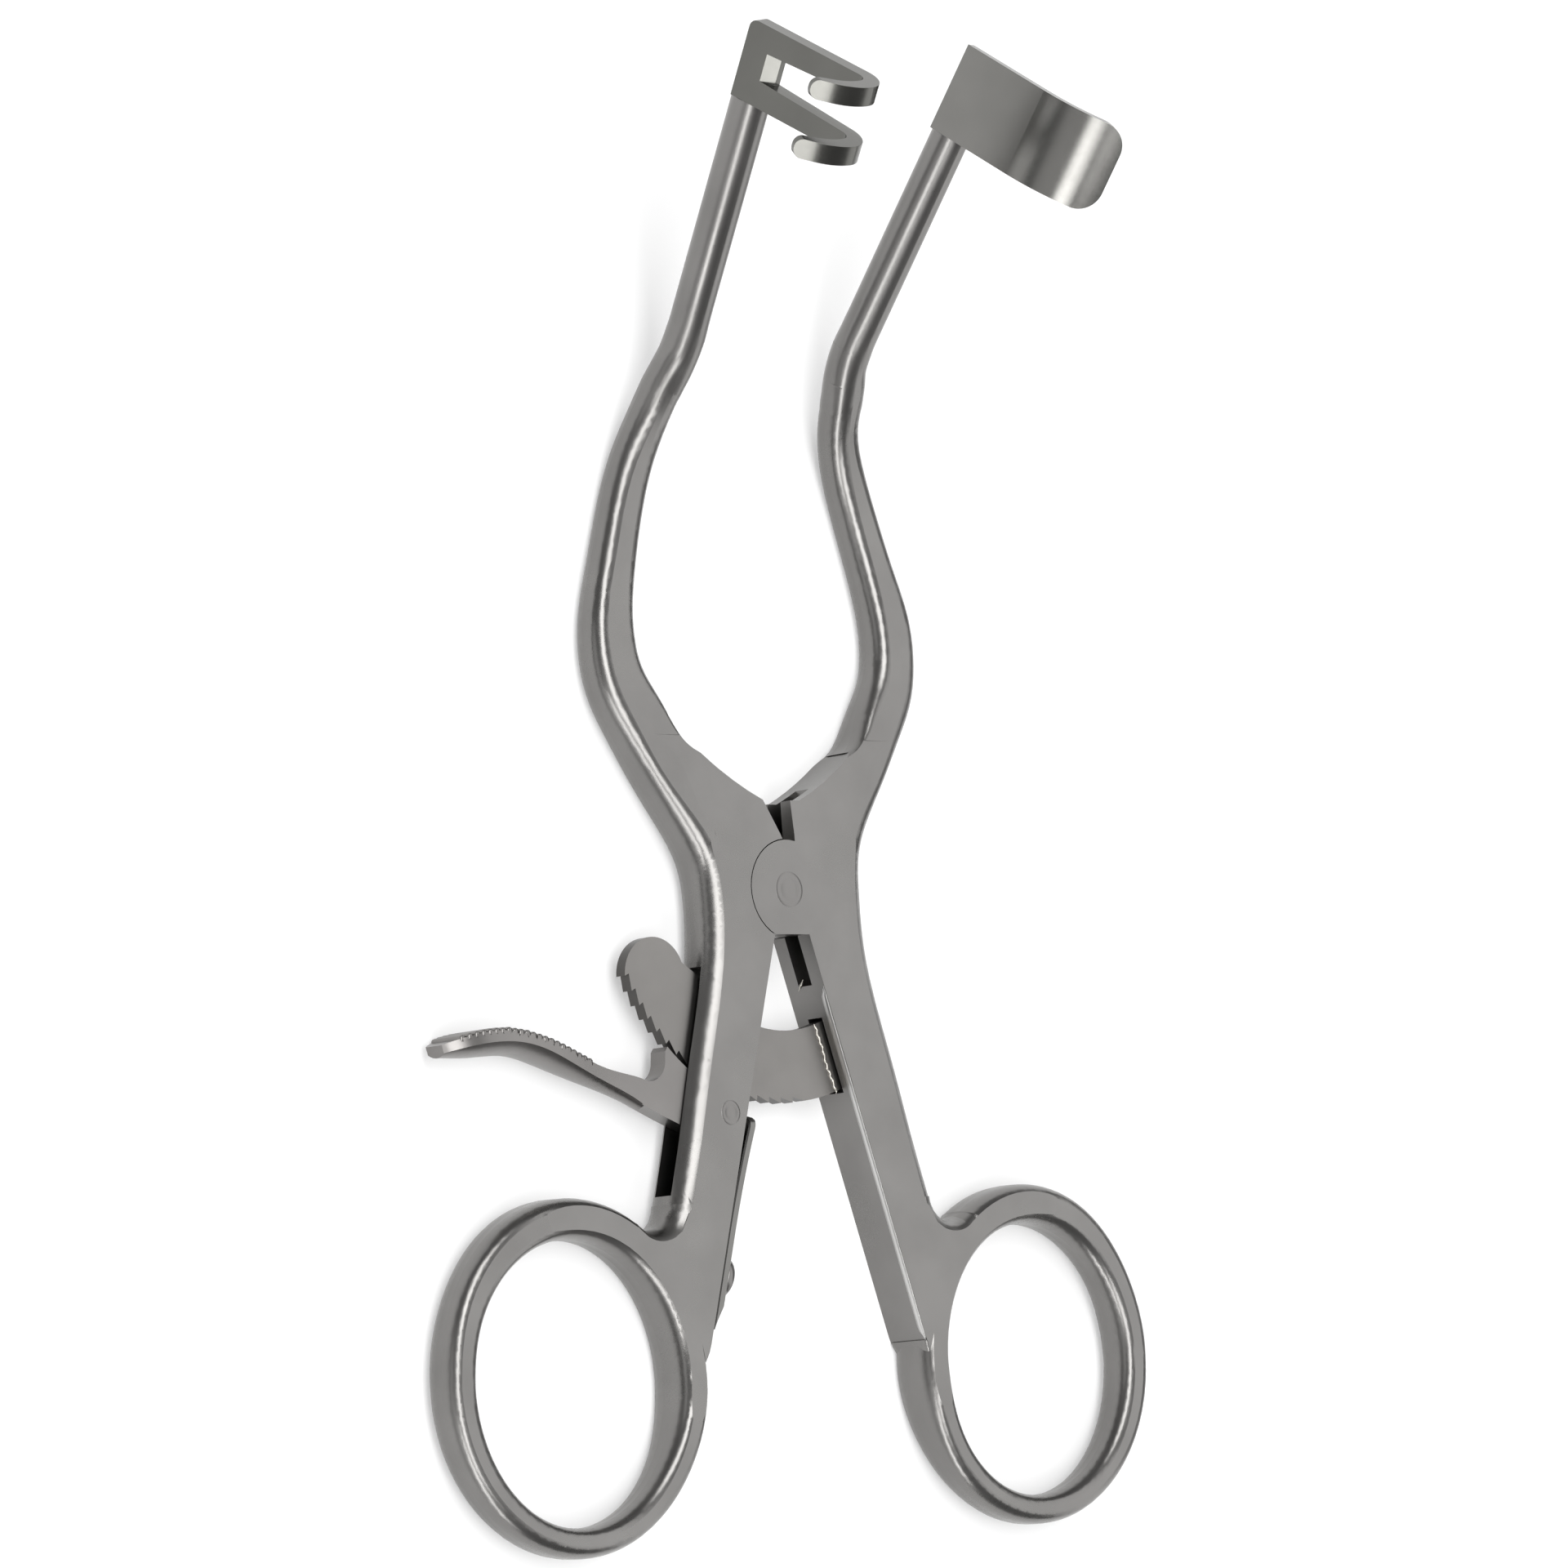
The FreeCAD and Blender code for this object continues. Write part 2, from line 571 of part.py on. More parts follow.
def pin_bore(radius, x=0.0, y=0.0):
    """Bore right through, broken at both faces."""
    bore = disc(radius, -1, LOCK_THICK + 1, x, y)
    tall = radius + PIN_BREAK
    low = Part.makeCone(tall, 0, tall, V(x, y, 0), UP)
    high = Part.makeCone(tall, 0, tall, V(x, y, LOCK_THICK), UP * -1)
    return bore.fuse([low, high])


def bar_outline():
    """Outline of the ratchet bar as edges: teeth, foot, inner arc and rounded head."""
    points = []
    for i in range(TOOTH_COUNT):
        turn = FIRST_TOOTH - i * TOOTH_PITCH
        tip = BAR_TIP_R + (BAR_FOOT_R - BAR_TIP_R) * i / TOOTH_COUNT
        points += [on_bar(tip, turn), on_bar(tip - TOOTH_DEPTH, turn)]
    last = FIRST_TOOTH - TOOTH_COUNT * TOOTH_PITCH
    points.append(on_bar(BAR_FOOT_R, last))
    edges = [Part.makeLine(at(a, 0), at(b, 0)) for a, b in zip(points, points[1:])]
    foot = [on_bar(r, a) for r, a in ((BAR_FOOT_R, (last + BAR_FOOT_ANGLE) / 2), (BAR_FOOT_R, BAR_FOOT_ANGLE),
                                      (BAR_IN_R, BAR_FOOT_ANGLE), (BAR_IN_R, 12), (BAR_IN_R, HEAD_ANGLE - 10))]
    edges.append(Part.Arc(at(points[-1], 0), at(foot[0], 0), at(foot[1], 0)).toShape())
    edges.append(Part.makeLine(at(foot[1], 0), at(foot[2], 0)))
    edges.append(Part.Arc(at(foot[2], 0), at(foot[3], 0), at(foot[4], 0)).toShape())
    centre = on_bar(HEAD_AT_R, HEAD_ANGLE)
    head = [polar(HEAD_R, 20, centre), polar(HEAD_R, 100, centre), points[0]]
    edges.append(Part.makeLine(at(foot[4], 0), at(head[0], 0)))
    edges.append(Part.Arc(*[at(p, 0) for p in head]).toShape())
    return edges


def beyond_wall(depth):
    """Everything right of a line inside the right shank, at a depth behind its wall."""
    slant = math.hypot(1, WALL_SLOPE)
    line = [(wall_x(y) + depth * slant, y) for y in (FAR / 2, -FAR / 2)]
    return outline(line + [(FAR, -FAR / 2), (FAR, FAR / 2)], -FAR / 2, FAR / 2)


def ratchet_bar():
    """Toothed arc, its foot let into the right shank."""
    bar = joined(bar_outline(), 0, BAR_THICK)
    bar.translate(V(0, 0, MID_Z - BAR_THICK / 2))
    return clean(bar.cut(beyond_wall(BAR_TENON)))


def mortise():
    """Pocket in the right shank for the foot of the ratchet bar."""
    half = BAR_THICK / 2 + MORTISE_PLAY
    inner, outer = BAR_IN_R - MORTISE_PLAY, BAR_FOOT_R + MORTISE_PLAY
    sector = disc(outer, MID_Z - half, MID_Z + half).cut(disc(inner, -1, LOCK_THICK + 1))
    keep = Part.makeBox(FAR, FAR, FAR, V(0, -FAR, -FAR / 2))
    return sector.common(keep).cut(beyond_wall(BAR_TENON))


def lever_plate():
    """Flat part of the lever, in the window: nose, hub and heel."""
    low, high = MID_Z - LEVER_THICK / 2, MID_Z + LEVER_THICK / 2
    clear = BAR_TIP_R + NOSE_GAP
    nose, chin = on_bar(clear, NOSE_TO), on_bar(clear, NOSE_FROM)
    brow = (nose[0] - 0.3, nose[1] - 0.4)
    heel_x = heel_face(HEEL_Y) - HEEL_GAP
    heel = [(heel_x - 0.5, HEEL_Y - 0.7), (heel_x, HEEL_Y), (heel_x, LEVER_PIN_Y)]
    run = [VALLEY[-1], *PLATE_BOTTOM, *heel, chin]
    edges = [Part.Arc(at(chin, low), at(on_bar(clear, (NOSE_FROM + NOSE_TO) / 2), low), at(nose, low)).toShape()]
    edges += [Part.makeLine(at(a, low), at(b, low)) for a, b in ((nose, brow), (brow, VALLEY[0]))]
    edges.append(Part.Arc(*[at(p, low) for p in VALLEY]).toShape())
    edges += [Part.makeLine(at(a, low), at(b, low)) for a, b in zip(run, run[1:])]
    return joined(edges, low, high).fuse(disc(LEVER_HUB_R, low, high, LEVER_PIN_X, LEVER_PIN_Y))


def heel_face(y):
    """Place of the leaf spring's face on the wall's side."""
    rise = max(0.0, (y - SPRING_LEAVES_Y) / (SPRING_TOP_Y - SPRING_LEAVES_Y))
    return -wall_x(y) + SPRING_LIFT * rise * rise


def thumb_section(x, y, slope, width, side, belly):
    """Section of the thumb piece: flat top, upright sides and a round belly."""
    turn = math.radians(slope)
    down = V(math.sin(turn), -math.cos(turn), 0)
    top = V(x, y, MID_Z)
    front, back = V(0, 0, width / 2), V(0, 0, -width / 2)
    low = top + down * (side + belly)
    edges = [
        Part.makeLine(top + back, top + front),
        Part.makeLine(top + front, top + front + down * side),
        Part.Arc(top + front + down * side, low, top + back + down * side).toShape(),
        Part.makeLine(top + back + down * side, top + back),
    ]
    return Part.Wire(edges)


def thumb_piece():
    """Broad curved end of the lever, serrated on top."""
    thumb = Part.makeLoft([thumb_section(*s) for s in THUMB_STATIONS], True, False)
    half = 0.3 * SERRATION_PITCH
    grooves = []
    for i in range(SERRATION_COUNT):
        x = SERRATION_START_X - i * SERRATION_PITCH
        y = top_of_thumb(x)
        vee = [(x - half, y + SERRATION_DEPTH), (x + half, y + SERRATION_DEPTH), (x, y - SERRATION_DEPTH)]
        grooves.append(outline(vee, -1, LOCK_THICK + 1))
    return thumb.cut(grooves)


def top_of_thumb(x):
    """Height of the thumb piece's top at a place along it."""
    for a, b in zip(THUMB_STATIONS, THUMB_STATIONS[1:]):
        if b[0] <= x <= a[0]:
            return a[1] + (b[1] - a[1]) * (x - a[0]) / (b[0] - a[0])
    return THUMB_STATIONS[-1][1]


def release_lever():
    """Lever with its nose at the teeth, its heel at the spring and its thumb piece outside."""
    lever = lever_plate().fuse(thumb_piece())
    return clean(lever.cut(disc(LEVER_PIN_R + PIN_PLAY, -1, LOCK_THICK + 1, LEVER_PIN_X, LEVER_PIN_Y)))


def leaf_spring():
    """Strip that lies on the left shank's wall and stands off it at the lever's heel."""
    low = MID_Z - SPRING_WIDTH / 2

    def face(y, off):
        return V(heel_face(y) + off, y, low)

    heights = [SPRING_LEAVES_Y + (SPRING_TOP_Y - SPRING_LEAVES_Y) * i / 4 for i in range(5)]
    bends = []
    for off, ys in ((0.0, heights), (SPRING_THICK, heights[::-1])):
        curve = Part.BSplineCurve()
        curve.interpolate([face(y, off) for y in ys])
        bends.append(curve.toShape())
    thick = SPRING_THICK
    edges = [
        Part.makeLine(face(SPRING_BOTTOM_Y, 0), face(SPRING_LEAVES_Y, 0)),
        bends[0],
        Part.makeLine(face(SPRING_TOP_Y, 0), face(SPRING_TOP_Y, thick)),
        bends[1],
        Part.makeLine(face(SPRING_LEAVES_Y, thick), face(SPRING_BOTTOM_Y, thick)),
        Part.makeLine(face(SPRING_BOTTOM_Y, thick), face(SPRING_BOTTOM_Y, 0)),
    ]
    spring = joined(edges, low, low + SPRING_WIDTH)
    spring = rounded(spring, SPRING_WIDTH / 3,
                     lambda e: e.Length < 1.2 * thick and abs(e.tangentAt(e.FirstParameter).z) < 0.1)
    return clean(spring.cut(screw_hole()))


def screw_axis():
    """Foot of the screw on the wall, and its direction away from the left shank."""
    slant = math.atan(WALL_SLOPE)
    return V(-wall_x(SCREW_Y), SCREW_Y, MID_Z), V(math.cos(slant), -math.sin(slant), 0)


def screw_hole():
    """Hole for the spring's screw, through the spring and into the shank."""
    foot, out = screw_axis()
    return Part.makeCylinder(SCREW_R, SCREW_DEPTH + 2 * SPRING_THICK, foot - out * SCREW_DEPTH, out)


def spring_screw():
    """Round headed screw that holds the leaf spring."""
    foot, out = screw_axis()
    seat = foot + out * (SPRING_THICK * math.cos(math.atan(WALL_SLOPE)))
    shank = Part.makeCylinder(SCREW_R, (seat - foot).Length + SCREW_DEPTH, foot - out * SCREW_DEPTH, out)
    head = Part.makeCylinder(SCREW_HEAD_R, SCREW_HEAD_H, seat, out)
    head = rounded(head, SCREW_HEAD_H * 0.7,
                   lambda e: e.Curve.TypeId == "Part::GeomCircle" and (e.CenterOfMass - seat).Length > 0.1)
    return clean(shank.fuse(head))


def build():
    """Every piece, by the name of its node."""
    return {
        "left_arm": left_arm(),
        "right_arm": right_arm(),
        "fork_blade": fork_blade(),
        "solid_blade": solid_blade(),
        "lock_pin": pin(LOCK_PIN_R, 0, LOCK_THICK),
        "ratchet_bar": ratchet_bar(),
        "release_lever": release_lever(),
        "lever_pin": pin(LEVER_PIN_R, 0, LOCK_THICK, LEVER_PIN_X, LEVER_PIN_Y),
        "leaf_spring": leaf_spring(),
        "spring_screw": spring_screw(),
    }


os.makedirs("parts", exist_ok=True)
for name, piece in build().items():
    piece.exportStep("parts/" + name + ".step")
    print(name, "solids", len(piece.Solids), "valid", piece.isValid(), "volume", round(piece.Volume, 2))
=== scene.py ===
"""Looks of the self retaining retractor: satin steel, braze, small forms, floor, light and camera."""

import math

import bmesh
import bpy
from mathutils import Matrix, Vector
from mathutils.bvhtree import BVHTree


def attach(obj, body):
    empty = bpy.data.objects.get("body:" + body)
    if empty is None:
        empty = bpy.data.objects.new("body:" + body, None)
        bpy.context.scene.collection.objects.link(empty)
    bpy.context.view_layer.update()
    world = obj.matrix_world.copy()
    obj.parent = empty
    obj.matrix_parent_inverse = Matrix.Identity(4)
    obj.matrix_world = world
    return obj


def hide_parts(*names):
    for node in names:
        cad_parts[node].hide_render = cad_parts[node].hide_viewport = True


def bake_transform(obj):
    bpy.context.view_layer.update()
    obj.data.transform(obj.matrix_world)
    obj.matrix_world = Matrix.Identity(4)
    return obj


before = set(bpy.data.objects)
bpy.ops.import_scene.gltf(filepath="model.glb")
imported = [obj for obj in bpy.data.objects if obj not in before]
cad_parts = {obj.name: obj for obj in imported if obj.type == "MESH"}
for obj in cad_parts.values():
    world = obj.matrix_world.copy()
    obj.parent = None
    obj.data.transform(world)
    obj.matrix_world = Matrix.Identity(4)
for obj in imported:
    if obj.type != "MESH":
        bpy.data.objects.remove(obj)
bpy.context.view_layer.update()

MM = 0.001

# Steels: colour as linear RGB, roughness, grain, stretch of brushed lines, and painted shade on the sides, as
# the share of the colour they keep
STEELS = {
    "satin_steel": ((0.212, 0.207, 0.201), 0.29, 0.07, None, 1.0),
    "blade_steel": ((0.2, 0.197, 0.188), 0.2, 0.06, None, 1.0),
    # The fork's steel is the satin steel at about two thirds of its colour: painted shade on the fork.
    "shaded_fork_steel": ((0.136, 0.135, 0.126), 0.2, 0.06, None, 1.0),
    # The ratchet bar's sides keep 0.42 of its colour: painted shade.
    "ratchet_steel": ((0.212, 0.205, 0.197), 0.34, 0.15, (1, 6, 1), 0.42),
    "lever_steel": ((0.214, 0.206, 0.2), 0.3, 0.07, None, 1.0),
    "pin_steel": ((0.214, 0.208, 0.202), 0.33, 0.15, None, 1.0),
    "spring_steel": ((0.19, 0.187, 0.18), 0.26, 0.15, (8, 1, 8), 1.0),
    # Lighter braze for the bar's root; the same colour paints a highlight at the end of the knuckle's slot.
    "braze_and_painted_highlight": ((0.5, 0.48, 0.44), 0.3, 0.2, None, 1.0),
    # A much lighter steel, for a painted highlight along the right shank's inner edge.
    "painted_highlight_edge": ((0.56, 0.555, 0.545), 0.3, 0.1, (1, 8, 1), 1.0),
}
STEEL_OF = {
    "left_arm": "satin_steel",
    "right_arm": "satin_steel",
    "fork_blade": "shaded_fork_steel",
    "solid_blade": "blade_steel",
    "lock_pin": "pin_steel",
    "ratchet_bar": "ratchet_steel",
    "release_lever": "lever_steel",
    "lever_pin": "pin_steel",
    "leaf_spring": "spring_steel",
    "spring_screw": "pin_steel",
}

# Noises of the steels, as scale and detail, and what they change
SMUDGE = (140, 4)
SMUDGE_TONE = 0.9
SPECK = (2600, 2)
SPECK_ROUGHNESS = (-0.008, 0.012)
WEAR = (60, 5)
WEAR_ROUGHNESS = (-0.03, 0.04)
BRUSHED_LINES = (900, 3)
BUMP_HEIGHT = 0.00001
MIDDLE = (0.35, 0.65)
WIDE = (0.3, 0.7)

# Knee between an arm and its rod: points on its middle line, right side, in mm
KNEE = ((12.95, 39.35, 2.0), (11.45, 44.0, 3.6), (10.42, 47.5, 5.75), (10.2, 50.0, 7.4))
KNEES = (("left_arm", "fork_side", -1), ("right_arm", "blade_side", 1))
ROD_AXIS = (0.102, 0.806, 0.584)
ROD_R = 1.8
KNEE_RUN = 5.0
KNEE_STEP = 0.25
KNEE_SPOKES = 72
KNEE_WINDOW = 4
KNEE_ROUNDS = 3
KNEE_FADE = 2.2
KNEE_BURIED = 0.05

# Hooks of the fork: start of their outer faces, their directions, how far they thin and curl, in mm
HOOK_ROOT = (-12.4, 61.42, 31.53)
HOOK_ALONG = (-0.985, -0.163, 0.056)
HOOK_OUTWARD = (-0.1422, 0.5688, -0.8101)
HOOK_REACH = 5.5
HOOK_DEPTH = 1.55
HOOK_MARGIN = 0.05
HOOK_TAPER = 0.6
HOOK_TAPER_POWER = 1.6
HOOK_CURL = math.radians(30)
HOOK_CURLED = 0.7
HOOK_KEPT = 0.87
HOOK_CUTS = 12
CURL_STEPS = 40

# Chamfer at the root of the fork's window: its brow's corners, the plate's directions, its size, in mm
WINDOW_BROW = ((-14.13, 71.13, 26.47), (-13.87, 69.03, 24.95))
PLATE_FRONT = (-0.964, -0.224, 0.141)
PRONG_ALONG = (0.244, -0.548, 0.8)
BROW_CHAMFER = 1.15
BROW_DROP = 0.8

# Softened edges of the fork in mm, and limits for its mesh in metres and radians
EDGE_SOFT = 0.12
EDGE_SEGMENTS = 3
HARD_EDGE = math.radians(35)
FLAT_WITHIN = math.radians(1)
SAME_POINT = 1e-6
ON_PLANE = 1e-7

# Filed pin ends: place, radius of the cap, and the body that each pin is fast in
PIN_ENDS = (
    ("lock_pin", (0.0, 0.0), 1.66, "blade_side"),
    ("lever_pin", (-8.9, -20.2), 1.14, "fork_side"),
)
PIN_CAP = (
    (1.0, -0.03), (0.97, 0.008), (0.8, 0.014), (0.66, 0.014), (0.62, -0.002), (0.58, 0.016), (0.3, 0.022),
    (0.02, 0.022),
)
PIN_SEGMENTS = 64
LOCK_THICK = 5.0

# Spring's rivet: its seat on the spring, its axis, and its domed head, in mm
RIVET_SEAT = (-10.12, -34.7, 2.5)
RIVET_OUT = (0.958, -0.286, 0.0)
RIVET_HEAD = (
    (0.8, -2.6), (0.8, -0.02), (2.08, -0.02), (2.12, 0.2), (2.1, 0.5), (2.0, 0.8), (1.75, 1.03), (1.3, 1.18),
    (0.7, 1.25), (0.02, 1.27),
)
RIVET_SEGMENTS = 48

# Bright beads: braze at the bar's root, and at the end of the knuckle's slot a painted highlight: slot,
# radius and points in mm, then how uneven they are, as shares of the radius and radians a step
BEADS = (
    ("root_bead", "ratchet_steel", 0.13, (
        (3.45, -11.6, 3.12), (3.62, -12.1, 3.14), (3.96, -13.2, 3.15), (4.42, -14.4, 3.14),
        (4.72, -15.8, 3.15), (5.28, -17.1, 3.14), (5.8, -18.5, 3.14), (5.95, -18.9, 3.12))),
    # This bead's bright colour paints a highlight at the end of the slot.
    ("slot_bead", "satin_steel", 0.1, (
        (3.6, -9.1, 1.3), (3.52, -8.95, 1.45), (3.42, -8.65, 1.8), (3.3, -8.25, 2.2),
        (3.22, -8.0, 2.5), (3.2, -7.9, 2.6))),
)
BEAD_STEP = 0.12
BEAD_SIDES = 12
BEAD_FADE = 4
BEAD_END = 0.3
BEAD_LUMPS = (0.35, 1.7, 0.6)
BEAD_SWAY = (0.5, 0.9)

# Serrations of the lever's thumb rest, from the tip inwards, in mm: an end is depth and share of the radius
RIDGE_FROM_X = -38.9
RIDGE_PITCH = 0.69
RIDGE_COUNT = 22
RIDGE_R = 0.36
RIDGE_SUNK = 0.06
RIDGE_ENDS = ((0.0, 0.7), (0.1, 0.92), (0.3, 1.0))
RIDGE_SIDES = 14
RIDGE_FEELERS = (-0.3, -0.15, 0, 0.15, 0.3)
RIDGE_ABOVE = 20
RIDGE_INSIDE = 0.35

# Leaf spring: the wall it lies on as x at two heights, its ends, faces and lift, and how it thins, in mm
SPRING_WALL = ((-12.68, -39.6), (-6.9, -20.2))
SPRING_ENDS = (-39.5, -20.45)
SPRING_LEAVES_Y = -31.0
SPRING_LIFT = 0.6
SPRING_GAP = 0.16
SPRING_THICK = 0.86
SPRING_FACES = (0.5, 4.88)
SPRING_STEP = 0.2
SPRING_TOP = (0.04, 0.6)
SPRING_FOOT = (0.2, 2.2)
SPRING_CORNER = (0.02, 1.3)
SPRING_SOFT = 0.14

# Painted highlight on the right shank's inner edge, a strip of much lighter steel: its ends along the wall,
# and its strip on the wall, in mm
BAND_ENDS = (-8.75, -41.5)
BAND_WALL = (3.44, -8.6)
BAND_SLOPE = 0.298
BAND_BESIDE = 1
BAND_FACES = (4.2, 4.9)
BAND_PROUD = (0.075, 0.02)
BAND_SUNK = 0.05
BAND_BEVEL = (0.06, 0.04)
BAND_STEP = 0.5
BAND_FADE = 3

# Floor and sky
FLOOR = (0.56, 0.56, 0.56)
FLOOR_R = 2.5
FLOOR_SIDES = 96
FLOOR_ROUGHNESS = 0.9
FLOOR_SPECULAR = 0.1
GLOW = 0.36
SKY = 0.22

# Lamps: direction from the object, distance, width, length and power
LAMPS = (
    ("strip", (-0.34, 0.1, 0.94), 0.9, 0.44, 1.6, 11.5),
    ("broad", (0.69, 0.1, 0.72), 1.0, 0.8, 1.6, 5.3),
    ("left_fill", (-0.95, -0.2, 0.3), 1.0, 0.3, 1.2, 0.8),
    ("front_left", (-0.54, -0.735, 0.42), 1.0, 0.22, 1.0, 4.4),
    ("front_right", (0.85, -0.48, 0.18), 1.0, 0.45, 0.45, 0.8),
)
LIT_POINT = (0, 0.01, 0.005)

# Camera: its eye, the direction to it from the object, its turn about that direction, and its lens
EYE = Vector((-0.40733, -0.05305, 0.45450))
TO_EYE = Vector((-0.66816, -0.10279, 0.73688))
ROLL = math.radians(3.94)
LENS = 153.83
SENSOR = 36
CLIP = (0.01, 10)


def material(name, colour, roughness, grain, brushed, painted_side_shade):
    """Steel: smudges in its tone, a fine blasted or brushed grain, and painted shade that darkens the sides.
    """
    mat = bpy.data.materials.new(name)
    mat.use_nodes = True
    nodes, links = mat.node_tree.nodes, mat.node_tree.links
    shader = nodes["Principled BSDF"]
    shader.inputs["Metallic"].default_value = 1.0
    place = nodes.new("ShaderNodeTexCoord")

    def noise(scale, detail, stretch=(1, 1, 1)):
        mapping = nodes.new("ShaderNodeMapping")
        mapping.inputs["Scale"].default_value = stretch
        texture = nodes.new("ShaderNodeTexNoise")
        texture.inputs["Scale"].default_value = scale
        texture.inputs["Detail"].default_value = detail
        links.new(place.outputs["Object"], mapping.inputs["Vector"])
        links.new(mapping.outputs["Vector"], texture.inputs["Vector"])
        return texture.outputs["Fac"]

    def ramp(value, between, first, last):
        node = nodes.new("ShaderNodeMapRange")
        node.inputs["From Min"].default_value = between[0]
        node.inputs["From Max"].default_value = between[1]
        node.inputs["To Min"].default_value = first
        node.inputs["To Max"].default_value = last
        links.new(value, node.inputs["Value"])
        return node.outputs["Result"]

    smudge = noise(*SMUDGE)
    speck = noise(*SPECK)
    tone = nodes.new("ShaderNodeMix")
    tone.data_type = "RGBA"
    dark = tuple(c * SMUDGE_TONE for c in colour)
    tone.inputs["A"].default_value = (*dark, 1)
    tone.inputs["B"].default_value = (*colour, 1)
    links.new(ramp(smudge, MIDDLE, 0, 1), tone.inputs["Factor"])
    # Painted shade: faces whose normals lie near level get a darker colour, down to the steel's side share.
    split = nodes.new("ShaderNodeSeparateXYZ")
    links.new(place.outputs["Normal"], split.inputs["Vector"])
    upright = nodes.new("ShaderNodeMath")
    upright.operation = "ABSOLUTE"
    links.new(split.outputs["Z"], upright.inputs[0])
    side_shade = nodes.new("ShaderNodeMix")
    side_shade.data_type = "RGBA"
    side_shade.blend_type = "MULTIPLY"
    side_shade.inputs["Factor"].default_value = 1.0
    links.new(tone.outputs["Result"], side_shade.inputs["A"])
    links.new(ramp(upright.outputs["Value"], WIDE, painted_side_shade, 1.0), side_shade.inputs["B"])
    links.new(side_shade.outputs["Result"], shader.inputs["Base Color"])
    wear = nodes.new("ShaderNodeMath")
    wear.operation = "ADD"
    smooth, worn = WEAR_ROUGHNESS
    links.new(ramp(noise(*WEAR), MIDDLE, roughness + smooth, roughness + worn), wear.inputs[0])
    links.new(ramp(speck, WIDE, *SPECK_ROUGHNESS), wear.inputs[1])
    links.new(wear.outputs["Value"], shader.inputs["Roughness"])
    lines = noise(*BRUSHED_LINES, brushed) if brushed else speck
    bump = nodes.new("ShaderNodeBump")
    bump.inputs["Strength"].default_value = grain
    bump.inputs["Distance"].default_value = BUMP_HEIGHT
    links.new(lines, bump.inputs["Height"])
    links.new(bump.outputs["Normal"], shader.inputs["Normal"])
    return mat


def dress(steels):
    """Gives each piece of the frame its steel."""
    for name, steel in STEEL_OF.items():
        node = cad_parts[name]
        node.data.materials.clear()
        node.data.materials.append(steels[steel])


def grown(bm, name, mat, body):
    """Piece from a filled bmesh, smooth shaded, with its steel and its body, if it has just one."""
    mesh = bpy.data.meshes.new(name)
    bmesh.ops.recalc_face_normals(bm, faces=bm.faces)
    bm.to_mesh(mesh)
    bm.free()
    for face in mesh.polygons:
        face.use_smooth = True
    piece = bpy.data.objects.new(name, mesh)
    bpy.context.scene.collection.objects.link(piece)
    mesh.materials.append(mat)
    if body:
        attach(piece, body)
    return piece


def surface(node):
    """Surface of a CAD node, to send rays at."""
    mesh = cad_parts[node].data
    return BVHTree.FromPolygons([v.co for v in mesh.vertices], [list(f.vertices) for f in mesh.polygons])


def skin(rings, bm=None):
    """Closed skin over rings of points, each as many as the next, in a given bmesh or a new one."""
    if bm is None:
        bm = bmesh.new()
    loops = [[bm.verts.new(point) for point in ring] for ring in rings]
    count = len(loops[0])
    for low, high in zip(loops, loops[1:]):
        for i in range(count):
            j = (i + 1) % count
            bm.faces.new((low[i], low[j], high[j], high[i]))
    bm.faces.new(loops[0][::-1])
    bm.faces.new(loops[-1])
    return bm


def smooth_step(share):
    """Rises smoothly from 0 to 1."""
    share = min(1.0, max(0.0, share))
    return share * share * (3 - 2 * share)


def angles(count):
    """Angles a full turn round, evenly spaced."""
    return [2 * math.pi * k / count for k in range(count)]


def turned(profile, centre, axis, segments):
    """Turned body: (radius, height) pairs round an axis through a centre."""
    axis = Vector(axis).normalized()
    side = axis.orthogonal().normalized()
    other = axis.cross(side)
    rings = []
    for radius, height in profile:
        middle = Vector(centre) + axis * height
        rings.append([middle + (side * math.cos(a) + other * math.sin(a)) * radius for a in angles(segments)])
    return skin(rings)


def spaced(points, step):
    """Points a step apart along a smooth line through the given ones."""
    line = []
    for i in range(1, len(points) - 2):
        a, b, c, d = points[i - 1:i + 3]
        count = max(2, round((c - b).length / step))
        for k in range(count):
            t = k / count
            line.append(0.5 * (2 * b + (c - a) * t + (2 * a - 5 * b + 4 * c - d) * t * t
                               + (3 * b - a - 3 * c + d) * t ** 3))
    return line + [points[-2]]


def across_line(line, i):
    """Unit vectors square to a line at one of its points, the first one level."""
    along = (line[min(i + 1, len(line) - 1)] - line[max(i - 1, 0)]).normalized()
    across = along.cross(Vector((0, 0, 1))).normalized()
    return across, across.cross(along)


